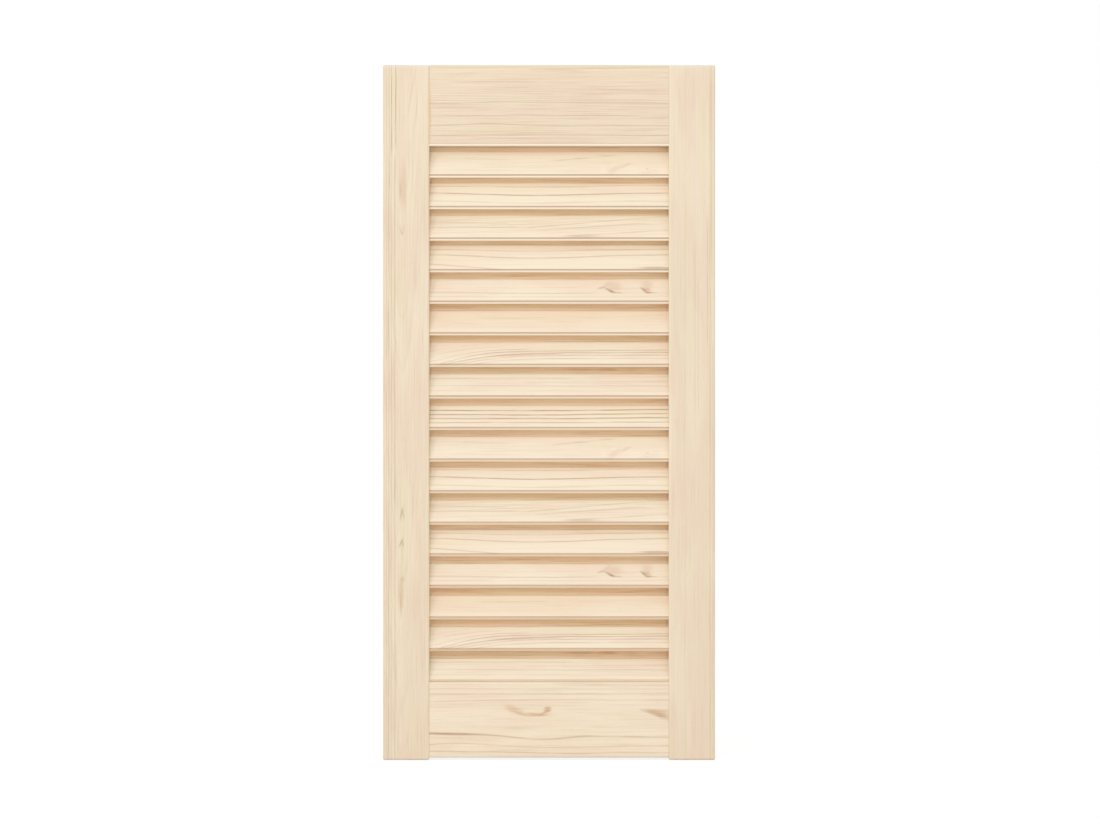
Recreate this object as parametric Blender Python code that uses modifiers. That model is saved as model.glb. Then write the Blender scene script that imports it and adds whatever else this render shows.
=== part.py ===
"""Louvred cabinet door: a pine frame of two stiles and two rails with fixed slanted louvres.

Metres. +Z up, +X to the right as seen from the front, the front face looks along -Y.
The origin is on the floor line, midway between the stiles and midway through their thickness.
"""
import math

import bmesh
import bpy
from mathutils import Matrix, Vector

MM = 0.001

# Door leaf
DOOR_WIDTH = 294.0 * MM
DOOR_HEIGHT = 615.0 * MM

# Stiles
STILE_WIDTH = 41.0 * MM
STILE_THICKNESS = 21.0 * MM
STILE_ARRIS_RADIUS = 1.4 * MM

# Rails: square-ended, and the stiles run past the bottom rail by the horn
TOP_RAIL_HEIGHT = 71.4 * MM
BOTTOM_RAIL_HEIGHT = 67.3 * MM
RAIL_THICKNESS = 19.0 * MM
RAIL_ARRIS_RADIUS = 0.6 * MM
BOTTOM_HORN = 2.0 * MM

# Louvres: slats with a rounded back edge, stood back behind the faces of the stiles, the lowest one's nose
# dropped behind the upper edge of the bottom rail
LOUVRE_COUNT = 17
LOUVRE_WIDTH = 32.4 * MM
LOUVRE_THICKNESS = 6.0 * MM
LOUVRE_RECESS = 2.8 * MM
LOUVRE_BACK_RECESS = 1.0 * MM
LOUVRE_DROP = 1.0 * MM
LOUVRE_HOUSING = 7.5 * MM

# Quirk: a fine groove along the nose of each louvre, above its lowest line, and below it a bead with a plumb
# face and a crisp lower corner
QUIRK_RADIUS = 0.6 * MM
QUIRK_HEIGHT = 2.2 * MM
BEAD_RADIUS = 0.5 * MM

# Dowels
DOWEL_DIAMETER = 8.0 * MM
DOWEL_LENGTH = 40.0 * MM
DOWEL_SPACING = 32.0 * MM
DOWEL_CHAMFER = 0.8 * MM

# Fit between neighbouring pieces
FIT_GAP = 0.3 * MM

# Roundness of the drawn shapes
ARRIS_STEPS = 4
NOSE_STEPS = 12
QUIRK_STEPS = 4
DOWEL_SIDES = 16

# Positions that follow from the sizes above
OPENING_HALF = DOOR_WIDTH / 2 - STILE_WIDTH
OPENING_TOP = DOOR_HEIGHT - TOP_RAIL_HEIGHT
OPENING_BOTTOM = BOTTOM_HORN + BOTTOM_RAIL_HEIGHT
LOUVRE_PITCH = (OPENING_TOP - OPENING_BOTTOM + LOUVRE_DROP) / LOUVRE_COUNT
NOSE_RADIUS = LOUVRE_THICKNESS / 2
LOUVRE_SPAN = LOUVRE_WIDTH - LOUVRE_THICKNESS
LOUVRE_DEPTH = STILE_THICKNESS - LOUVRE_RECESS - LOUVRE_BACK_RECESS
LOUVRE_MIDDLE = (LOUVRE_RECESS - LOUVRE_BACK_RECESS) / 2
LOUVRE_TILT = math.asin((LOUVRE_DEPTH - LOUVRE_THICKNESS) / LOUVRE_SPAN)
LOUVRE_RISE = LOUVRE_SPAN * math.cos(LOUVRE_TILT) + LOUVRE_THICKNESS
LOUVRE_HALF_LENGTH = OPENING_HALF + LOUVRE_HOUSING - FIT_GAP
BORE_DEPTH = DOWEL_LENGTH / 2 + FIT_GAP

# A bar drawn along its own Z is turned to run along X, its section standing in the YZ plane
ACROSS = (math.pi / 2, 0.0, math.pi / 2)


def clear_scene():
    """Remove everything the new file starts with."""
    for item in list(bpy.data.objects):
        bpy.data.objects.remove(item, do_unlink=True)


def make_collection(name):
    """Make a collection under the scene's own."""
    collection = bpy.data.collections.new(name)
    bpy.context.scene.collection.children.link(collection)
    return collection


def make_material(name, colour, roughness):
    """Make a plain wood material from a linear colour."""
    material = bpy.data.materials.new(name)
    material.use_nodes = True
    shader = material.node_tree.nodes["Principled BSDF"]
    shader.inputs["Base Color"].default_value = (*colour, 1.0)
    shader.inputs["Roughness"].default_value = roughness
    shader.inputs["Metallic"].default_value = 0.0
    return material


def place(name, mesh, location, collection, rotation=(0.0, 0.0, 0.0)):
    """Make an object from a mesh or curve and stand it in its place."""
    piece = bpy.data.objects.new(name, mesh)
    piece.location = location
    piece.rotation_euler = rotation
    collection.objects.link(piece)
    return piece


def block_mesh(name, size):
    """A rectangular block about its own centre."""
    shape = bmesh.new()
    bmesh.ops.create_cube(shape, size=1.0, matrix=Matrix.Diagonal((*size, 1.0)))
    mesh = bpy.data.meshes.new(name)
    shape.to_mesh(mesh)
    shape.free()
    return mesh


def add_arris(piece, radius):
    """Round every edge of a block."""
    bevel = piece.modifiers.new("eased_edges", "BEVEL")
    bevel.width = radius
    bevel.segments = ARRIS_STEPS
    bevel.limit_method = "ANGLE"


def cut(piece, cutter):
    """Cut a shape out of a piece."""
    boolean = piece.modifiers.new(f"cut_{cutter.name}", "BOOLEAN")
    boolean.operation = "DIFFERENCE"
    boolean.solver = "EXACT"
    boolean.object = cutter


def arc(centre, radius, start, stop, steps):
    """Points of an arc in the section plane, both ends included."""
    points = []
    for step in range(steps + 1):
        angle = start + (stop - start) * step / steps
        points.append(centre + radius * Vector((math.cos(angle), math.sin(angle))))
    return points


def louvre_ends():
    """Centres of the nose and of the back edge in the section plane, about the louvre's middle."""
    along = Vector((math.sin(LOUVRE_TILT), math.cos(LOUVRE_TILT))) * LOUVRE_SPAN / 2
    return -along, along


def bead_corner(nose, grow):
    """The bead's lower front corner, plumb below the front of the nose and level with its lowest line."""
    inset = NOSE_RADIUS - BEAD_RADIUS
    return arc(nose - Vector((inset, inset)), BEAD_RADIUS + grow, math.pi, 1.5 * math.pi, ARRIS_STEPS)


def under_and_back(nose, back, radius):
    """The rest of a louvre's section, from its lowest line round the back edge to its face."""
    rear = 2 * math.pi - LOUVRE_TILT
    points = arc(nose, radius, 1.5 * math.pi, rear, NOSE_STEPS // 2)
    return points + arc(back, radius, rear, rear + math.pi, NOSE_STEPS)


def plain_section(grow):
    """Section of a louvre without its quirk, grown on all sides."""
    nose, back = louvre_ends()
    radius = NOSE_RADIUS + grow
    points = arc(nose, radius, math.pi - LOUVRE_TILT, math.pi, NOSE_STEPS // 4)
    points += bead_corner(nose, grow)
    return points + under_and_back(nose, back, radius)


def quirked_section():
    """Section of a louvre with the quirk sunk in the plumb front of its nose."""
    nose, back = louvre_ends()
    groove = nose + Vector((-NOSE_RADIUS, QUIRK_HEIGHT - NOSE_RADIUS))
    lip = max(QUIRK_HEIGHT + QUIRK_RADIUS - NOSE_RADIUS, 0.0)
    front = math.pi - math.asin(lip / NOSE_RADIUS)
    points = arc(nose, NOSE_RADIUS, math.pi - LOUVRE_TILT, front, NOSE_STEPS // 4)
    points += arc(groove, QUIRK_RADIUS, math.pi / 2, -math.pi / 2, QUIRK_STEPS)
    points += bead_corner(nose, 0.0)
    return points + under_and_back(nose, back, NOSE_RADIUS)


def rail_section(height):
    """Section of a rail, rounded along its four long edges."""
    across = RAIL_THICKNESS / 2 - RAIL_ARRIS_RADIUS
    up = height / 2 - RAIL_ARRIS_RADIUS
    points = []
    for quarter, corner in enumerate(((across, up), (-across, up), (-across, -up), (across, -up))):
        start = quarter * math.pi / 2
        points += arc(Vector(corner), RAIL_ARRIS_RADIUS, start, start + math.pi / 2, ARRIS_STEPS)
    return points


def bar_mesh(name, section, half_length):
    """A straight bar with the given section, as a closed mesh along its own Z."""
    curve = bpy.data.curves.new(name, "CURVE")
    curve.dimensions = "2D"
    curve.fill_mode = "BOTH"
    curve.extrude = half_length
    outline = curve.splines.new("POLY")
    outline.points.add(len(section) - 1)
    for point, place_in_section in zip(outline.points, section):
        point.co = (*place_in_section, 0.0, 1.0)
    outline.use_cyclic_u = True
    drawn = bpy.data.objects.new(name, curve)
    bpy.context.scene.collection.objects.link(drawn)
    evaluated = drawn.evaluated_get(bpy.context.evaluated_depsgraph_get())
    mesh = bpy.data.meshes.new_from_object(evaluated)
    bpy.data.objects.remove(drawn, do_unlink=True)
    bpy.data.curves.remove(curve)
    shape = bmesh.new()
    shape.from_mesh(mesh)
    bmesh.ops.remove_doubles(shape, verts=shape.verts, dist=0.001 * MM)
    bmesh.ops.recalc_face_normals(shape, faces=shape.faces)
    shape.to_mesh(mesh)
    shape.free()
    mesh.name = name
    mesh.shade_smooth()
    mesh.set_sharp_from_angle(angle=math.radians(40))
    return mesh


def dowel_places():
    """Name and centre of each dowel."""
    rows = {
        "top": (OPENING_TOP + DOOR_HEIGHT) / 2,
        "bottom": (BOTTOM_HORN + OPENING_BOTTOM) / 2,
    }
    places = []
    for level, height in rows.items():
        for side, sign in (("left", -1), ("right", 1)):
            for row, step in (("upper", 0.5), ("lower", -0.5)):
                centre = (sign * OPENING_HALF, 0.0, height + step * DOWEL_SPACING)
                places.append((f"dowel_{level}_{side}_{row}", Vector(centre)))
    return places


def add_round(shape, centre, radius, half_length):
    """Add a round bar along X to a mesh being built."""
    turn = Matrix.Rotation(math.pi / 2, 4, "Y")
    bmesh.ops.create_cone(
        shape, cap_ends=True, segments=DOWEL_SIDES, radius1=radius, radius2=radius,
        depth=2 * half_length, matrix=Matrix.Translation(centre) @ turn,
    )


def dowel_mesh():
    """A dowel along X with chamfered ends."""
    shape = bmesh.new()
    add_round(shape, Vector((0, 0, 0)), DOWEL_DIAMETER / 2, DOWEL_LENGTH / 2)
    rims = [edge for edge in shape.edges if abs(edge.verts[0].co.x - edge.verts[1].co.x) < FIT_GAP]
    bmesh.ops.bevel(
        shape, geom=rims, offset=DOWEL_CHAMFER, offset_type="OFFSET", segments=1,
        affect="EDGES", profile=0.5, material=-1,
    )
    mesh = bpy.data.meshes.new("dowel")
    shape.to_mesh(mesh)
    shape.free()
    mesh.shade_smooth()
    mesh.set_sharp_from_angle(angle=math.radians(30))
    return mesh


def make_dowel_bores(collection):
    """The round holes that all the dowels sit in."""
    shape = bmesh.new()
    for name, centre in dowel_places():
        add_round(shape, centre, DOWEL_DIAMETER / 2 + FIT_GAP, BORE_DEPTH)
    mesh = bpy.data.meshes.new("dowel_bores")
    shape.to_mesh(mesh)
    shape.free()
    return place("dowel_bores", mesh, (0, 0, 0), collection)


def louvre_centre(number):
    """Middle of a louvre, counted from 1 at the top."""
    nose_bottom = OPENING_TOP - number * LOUVRE_PITCH
    return Vector((0.0, LOUVRE_MIDDLE, nose_bottom + LOUVRE_RISE / 2))


def make_louvre_housings(collection):
    """The slanted sockets that the louvre ends sit in, one below another."""
    mesh = bar_mesh("louvre_housings", plain_section(FIT_GAP), LOUVRE_HALF_LENGTH + FIT_GAP)
    housings = place("louvre_housings", mesh, louvre_centre(1), collection, ACROSS)
    row = housings.modifiers.new("row", "ARRAY")
    row.count = LOUVRE_COUNT
    row.use_relative_offset = False
    row.use_constant_offset = True
    row.constant_offset_displace = (0.0, -LOUVRE_PITCH, 0.0)
    return housings


def make_rebate(name, louvre_edge, level, depth, collection):
    """A rebate along a rail, from just in front of a louvre's edge through to the back of the rail."""
    front = LOUVRE_MIDDLE + louvre_edge.x - NOSE_RADIUS - FIT_GAP
    size = (DOOR_WIDTH, STILE_THICKNESS, 2 * (depth + FIT_GAP))
    centre = (0.0, front + STILE_THICKNESS / 2, level)
    return place(name, block_mesh(name, size), centre, collection)


def make_rebates(collection):
    """Rebates for the first louvre's upper edge and for the lowest louvre's nose."""
    nose, back = louvre_ends()
    overlap = max(LOUVRE_RISE - LOUVRE_PITCH, 0.0)
    upper = make_rebate("top_rail_rebate", back, OPENING_TOP, overlap, collection)
    lower = make_rebate("bottom_rail_rebate", nose, OPENING_BOTTOM, LOUVRE_DROP, collection)
    return upper, lower


def make_stile(name, side, material, cutters):
    """One stile, with its housings and bores."""
    mesh = block_mesh(name, (STILE_WIDTH, STILE_THICKNESS, DOOR_HEIGHT))
    centre = (side * (OPENING_HALF + STILE_WIDTH / 2), 0.0, DOOR_HEIGHT / 2)
    stile = place(name, mesh, centre, door)
    mesh.materials.append(material)
    add_arris(stile, STILE_ARRIS_RADIUS)
    for cutter in cutters:
        cut(stile, cutter)
    stile.parent = root


def make_rail(name, bottom, top, material, cutters):
    """One rail between the stiles."""
    mesh = bar_mesh(name, rail_section(top - bottom), OPENING_HALF - FIT_GAP)
    rail = place(name, mesh, (0.0, 0.0, (bottom + top) / 2), door, ACROSS)
    mesh.materials.append(material)
    for cutter in cutters:
        cut(rail, cutter)
    rail.parent = root


def make_louvres(material):
    """All the louvres, one object each on a shared mesh."""
    mesh = bar_mesh("louvre", quirked_section(), LOUVRE_HALF_LENGTH)
    mesh.materials.append(material)
    for number in range(1, LOUVRE_COUNT + 1):
        louvre = place(f"louvre_{number:02d}", mesh, louvre_centre(number), door, ACROSS)
        louvre.parent = root


def make_dowels(material):
    """All the dowels, one object each on a shared mesh."""
    mesh = dowel_mesh()
    mesh.materials.append(material)
    for name, centre in dowel_places():
        dowel = place(name, mesh, centre, door)
        dowel.parent = root


clear_scene()
door = make_collection("louvred_cabinet_door")
cutting = make_collection("cutters")
root = place("door_origin", None, (0, 0, 0), door)

stile_pine = make_material("stile_pine", (0.86, 0.73, 0.56), 0.55)
rail_pine = make_material("rail_pine", (0.85, 0.70, 0.53), 0.55)
louvre_pine = make_material("louvre_pine", (0.90, 0.76, 0.58), 0.5)
dowel_beech = make_material("dowel_beech", (0.72, 0.52, 0.34), 0.6)

dowel_bores = make_dowel_bores(cutting)
louvre_housings = make_louvre_housings(cutting)
upper_rebate, lower_rebate = make_rebates(cutting)
for cutter in (dowel_bores, louvre_housings, upper_rebate, lower_rebate):
    cutter.hide_render = True
    cutter.display_type = "WIRE"

make_stile("left_stile", -1, stile_pine, (louvre_housings, dowel_bores))
make_stile("right_stile", 1, stile_pine, (louvre_housings, dowel_bores))
make_rail("top_rail", OPENING_TOP, DOOR_HEIGHT, rail_pine, (dowel_bores, upper_rebate))
make_rail("bottom_rail", BOTTOM_HORN, OPENING_BOTTOM, rail_pine, (dowel_bores, lower_rebate))
make_louvres(louvre_pine)
make_dowels(dowel_beech)
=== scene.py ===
"""Louvred cabinet door in natural pine: the finished boards, the light and the camera.

Every board is a smooth copy of its solid, with values of its own written on its points. The one named
board is the point's place in the board: along the grain, across the face and through the thickness, in
metres from the middle. The pine is worked out from that place, as growth rings around a heart somewhere
beside the board, so the lines run on over the edges and ends. A louvre carries two more values: the level
where the painted shade strip under the next nose starts, and how far the painted highlight on its bead has
faded, from 0 on the highest louvre to 1 on the lowest.
"""
import math

import bmesh
import bpy
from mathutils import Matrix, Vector


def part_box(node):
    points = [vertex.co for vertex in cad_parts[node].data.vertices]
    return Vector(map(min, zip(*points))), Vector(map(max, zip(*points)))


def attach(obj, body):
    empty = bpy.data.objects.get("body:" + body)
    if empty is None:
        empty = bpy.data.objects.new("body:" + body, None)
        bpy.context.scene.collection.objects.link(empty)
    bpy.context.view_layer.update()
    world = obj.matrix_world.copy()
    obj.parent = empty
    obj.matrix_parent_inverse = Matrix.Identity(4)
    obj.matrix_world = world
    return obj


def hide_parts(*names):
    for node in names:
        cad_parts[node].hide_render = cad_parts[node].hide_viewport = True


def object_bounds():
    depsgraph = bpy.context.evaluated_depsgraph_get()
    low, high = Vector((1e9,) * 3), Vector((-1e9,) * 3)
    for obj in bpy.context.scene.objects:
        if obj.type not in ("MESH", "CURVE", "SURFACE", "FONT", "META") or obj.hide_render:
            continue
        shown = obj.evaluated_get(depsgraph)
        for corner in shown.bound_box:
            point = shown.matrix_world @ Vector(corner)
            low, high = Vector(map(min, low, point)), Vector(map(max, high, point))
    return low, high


MM = 0.001

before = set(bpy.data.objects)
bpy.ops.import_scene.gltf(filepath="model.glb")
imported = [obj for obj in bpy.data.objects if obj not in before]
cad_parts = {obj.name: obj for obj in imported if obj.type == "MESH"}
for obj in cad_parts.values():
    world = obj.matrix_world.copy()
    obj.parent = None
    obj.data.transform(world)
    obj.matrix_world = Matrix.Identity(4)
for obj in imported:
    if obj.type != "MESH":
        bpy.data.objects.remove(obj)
cad_low, cad_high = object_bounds()

# Width of the picture at the front of the door, and the camera's place before the middle of it
PICTURE_WIDTH = 973.25 * MM
CAMERA_DISTANCE = 3.5
CAMERA_ASIDE = 0.85 * MM
CAMERA_ABOVE = 0.52 * MM
CAMERA_REACH = 100.0

# The louvres from the highest to the lowest, and the slope they stand at
LOUVRE_NAMES = sorted(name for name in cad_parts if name.startswith("louvre_"))
LOUVRE_THICKNESS = 6.0 * MM
louvre_low, louvre_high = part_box(LOUVRE_NAMES[0])
LOUVRE_RUN = louvre_high.y - louvre_low.y - LOUVRE_THICKNESS
LOUVRE_RISE = louvre_high.z - louvre_low.z - LOUVRE_THICKNESS
TILT = math.atan2(LOUVRE_RUN, LOUVRE_RISE)
# From the middle of a louvre to the middle of its rounded edge, and the level of its nose
HALF_CORE = math.hypot(LOUVRE_RUN, LOUVRE_RISE) / 2
NOSE = -HALF_CORE - LOUVRE_THICKNESS / 2
# How high the highest and the lowest nose hang
HIGHEST_NOSE = louvre_low.z
LOWEST_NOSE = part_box(LOUVRE_NAMES[-1])[0].z

# Inner edge of the stiles, how close to it a rail ends, and the clearance that glue fills at the joints
OPENING_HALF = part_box("right_stile")[0].x
RAIL_END = 0.5 * MM
JOINT_FILL = 0.28 * MM
# Cuts around a louvre just inside its housing, and where it starts to fill the housing
HOUSING_CUTS = (0.02 * MM, 0.04 * MM)
HOUSING_START = 0.03 * MM
CUT_TOLERANCE = 0.001 * MM
# Loose corners this close are one corner, and an edge turned by more than this is a crisp one
MERGE_DISTANCE = 0.002 * MM
CRISP_ANGLE = math.radians(35)

# Directions of the boards: up and to the right, out of the front, and up along and out of a louvre's face
UP = Vector((0, 0, 1))
RIGHT = Vector((1, 0, 0))
OUT = Vector((0, -1, 0))
LOUVRE_UP = Vector((0, math.sin(TILT), math.cos(TILT)))
LOUVRE_OUT = Vector((0, -math.cos(TILT), math.sin(TILT)))

# Bumps a metre along, across and through a board, for each kind of figure in the wood
WAVER_SCALE = (11.0, 22.0, 22.0)
RING_BREAK_SCALE = (22.0, 260.0, 260.0)
LINE_BREAK_SCALE = (34.0, 300.0, 300.0)
STREAK_SCALE = (20.0, 760.0, 760.0)
BAND_SCALE = (7.0, 170.0, 170.0)
TONE_SCALE = (11.0, 55.0, 55.0)
FLECK_SCALE = (170.0, 2600.0, 2600.0)
STAIN_SCALE = (90.0, 700.0, 200.0)
RAGGED_SCALE = (260.0, 420.0, 120.0)
BEECH_SCALE = (160.0, 1400.0, 1400.0)
# Values of the noise between which each kind of figure comes in
RING_BREAK_STEP = (0.25, 0.6)
LINE_BREAK_STEP = (0.25, 0.62)
DARK_STEP = (0.5, 0.74)
PALE_STEP = (0.48, 0.28)
FLECK_STEP = (0.68, 0.8)
CREAM_STEP = (0.38, 0.62)
STRAW_STEP = (0.45, 0.75)
AMBER_STEP = (0.38, 0.62)
OLIVE_STEP = (0.42, 0.58)
BEECH_STEP = (0.35, 0.7)

# Shade through one growth ring, from early to late wood, and how weak a ring may be
RING_SHADES = ((0.0, 0.0), (0.5, 0.03), (0.78, 0.22), (0.9, 1.0), (0.97, 0.75), (1.0, 0.05))
WEAKEST_RING = 0.35
# How quickly and how much the rings vary in width, and how far along the tree a seed takes the waver
UNEVEN_SCALE = 0.6
UNEVEN_SHARE = 0.9
WAVER_STRIDE = 3.7 / WAVER_SCALE[0]
# What is left of a ring or a line where it breaks
BROKEN = 0.45
# A line's own waver, for its length and its level, how far it strays, and the fading of its ends
UNSTEADY_SCALE = (26.0, 900.0, 1.0)
UNSTEADY_REACH = 1.2 * MM
LINE_FADE = 7.0 * MM
# How firm the edge of a stain is, and how streaky it is
STAIN_EDGE = 3.0
STAIN_STREAKS = (0.5, 1.5)
# A knot, in shares of its reach: where the dark arm turns into the pale one, and where arms and filling end
ARM_CHANGE = 0.4
ARM_END = 0.55
FILLING_END = 3.0
# How much of the dark arm the pale one shows, and how ragged the knot is
PALE_ARM = 0.45
KNOT_RAGGEDNESS = (0.5, 1.4)

# Places on a louvre. The quirk: its middle and its edge
QUIRK_LEVEL = NOSE + 1.0 * MM
QUIRK_DEPTH = LOUVRE_THICKNESS / 2 - 0.62 * MM
QUIRK_EDGE = (0.55 * MM, 0.95 * MM)
# The bead below it, on its front alone
BEAD_LEVEL = (NOSE + 0.4 * MM, NOSE + 0.6 * MM)
BEAD_DEPTH = (0.9 * MM, 1.3 * MM)
# The front edge, paler as painted light, and the flat of the face
LIT_FRONT_LEVEL = (-4.0 * MM, -12.0 * MM)
LIT_FRONT_DEPTH = (-1.5 * MM, 0.5 * MM)
FACE_DEPTH = (1.6 * MM, 2.6 * MM)
# The painted shade strip: its lower edge and how it wavers, its lip, painted light below it and its right end
SHADE_STRIP_EDGE = (-0.3 * MM, 0.3 * MM)
SHADE_STRIP_WAVER = 1.6 * MM
SHADE_LIP_HEIGHT = (0.5 * MM, 2.0 * MM)
PAINTED_LIGHT_BELOW = (-5.0 * MM, -0.6 * MM)
CORNER_SHADE_END = (OPENING_HALF - 2.6 * MM, OPENING_HALF - 1.2 * MM)
# Its lower level on each of the nine louvre boards, and its rise with the height of the board
SHADE_STRIP_LEVELS = (6.4, 7.0, 6.05, 8.1, 5.8, 5.65, 6.1, 5.7, 6.0)
SHADE_STRIP_RISE = 0.0042
# How dark the painted shade in a quirk is, in the one behind the bottom rail, and what is left on the lowest
# louvre
QUIRK_SHADE_SHARE = 0.5
LOWEST_QUIRK_SHADE_SHARE = 0.05
FADED_QUIRK_SHARE = 0.75

# Strips along the edges of a stile or a rail: how far in they reach, and a fine line above the lower one
LOWER_STRIP = (1.5 * MM, 1.9 * MM)
UPPER_STRIP = (1.5 * MM, 4.0 * MM)
ARRIS_STRIP = (0.2 * MM, 0.7 * MM)
STRIP_DEPTH = (0.2 * MM, 0.6 * MM)
FINE_LINE_LEVEL = 2.4 * MM
FINE_LINE_EDGE = (0.2 * MM, 0.8 * MM)

# White of the floor, the share of its light and shade that the camera sees, and the glow that adds the rest
FLOOR_WHITE = 0.9
FLOOR_SHADE = 0.25
FLOOR_GLOW = 0.83
FLOOR_REACH = 30.0
# The white all round as light, and as the camera sees it
AROUND_AS_LIGHT = 0.78
AROUND_AS_SEEN = 1.0
# The lamps: place, width and power, all aimed at the middle of the door
LAMP_AIM = (0.0, 0.0, 0.32)
LAMPS = {"key": ((-0.45, -2.0, 1.3), 0.26, 6.1), "side": ((-1.9, -2.6, 2.77), 0.6, 14.3)}


def linear(red, green, blue):
    """A colour given in the usual 0 to 255 values, as linear light."""
    shades = []
    for value in (red, green, blue):
        part = value / 255
        shades.append(part / 12.92 if part <= 0.04045 else ((part + 0.055) / 1.055) ** 2.4)
    return (*shades, 1.0)


# Tones of the wood, each as rosy, cream and straw
FRAME_TONES = (linear(242, 220, 196), linear(245, 228, 202), linear(239, 226, 191))
TOP_RAIL_TONES = (linear(242, 218, 194), linear(244, 225, 200), linear(239, 223, 190))
# The bottom rail's are paler: painted light for the dimmer light near the floor
BOTTOM_RAIL_TONES = (linear(249, 229, 204), linear(252, 236, 211), linear(248, 234, 203))
# The louvres' are paler, partly painted light for their faces turned up to the lamps
LOUVRE_TONES = (linear(249, 229, 206), linear(251, 237, 214), linear(246, 234, 203))
LATE_WOOD = linear(182, 148, 106)
# Brown of knots and stains, also painted shade in the louvres' corners
KNOT_AND_SHADE_BROWN = linear(168, 120, 82)
# Pale wood of streaks and patches, also painted light on the louvres and along arrises
PALE_WOOD_AND_LIGHT = linear(255, 239, 213)
STRAW_EDGE = linear(236, 217, 178)
# Painted highlights on the beads and the top rail's lower edge, and the tan the bead highlight fades to
PAINTED_HIGHLIGHT = linear(255, 242, 222)
FADED_HIGHLIGHT = linear(227, 193, 152)
RUST = linear(206, 150, 92)
TAN = linear(196, 150, 104)
HONEY = linear(246, 210, 166)
AMBER = linear(236, 194, 140)
# Brown of painted shade in the quirks and along edges of the rails
SHADE_BROWN = linear(172, 138, 104)
OLIVE = linear(188, 158, 108)
# Grey of painted shade along the lower edges of the stiles and the bottom rail
SHADE_GREY = linear(214, 208, 198)
END_PALE = linear(244, 234, 220)
BEECH = linear(214, 176, 132)
BEECH_FLECK = linear(178, 132, 90)
# Painted shade: how the strip under the next nose darkens the wood, and a little more along its lip
HONEY_SHADE = linear(250, 226, 198)
AMBER_SHADE = linear(239, 208, 167)
LIP_SHADE = linear(240, 240, 241)
# How much of the straw tone and of the flecks shows
STRAW_SHARE = 0.7
FLECK_STRENGTH = 0.1
# The surface: how far late wood stands up beside the fibres, the depth of both, and the gloss
LATE_RELIEF = 0.4
RELIEF_STRENGTH = 0.12
RELIEF_DEPTH = 0.05 * MM
PINE_ROUGHNESS = (0.62, 0.46)
PINE_SPECULAR = 0.3
BEECH_ROUGHNESS = (0.5, 0.7)


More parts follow.
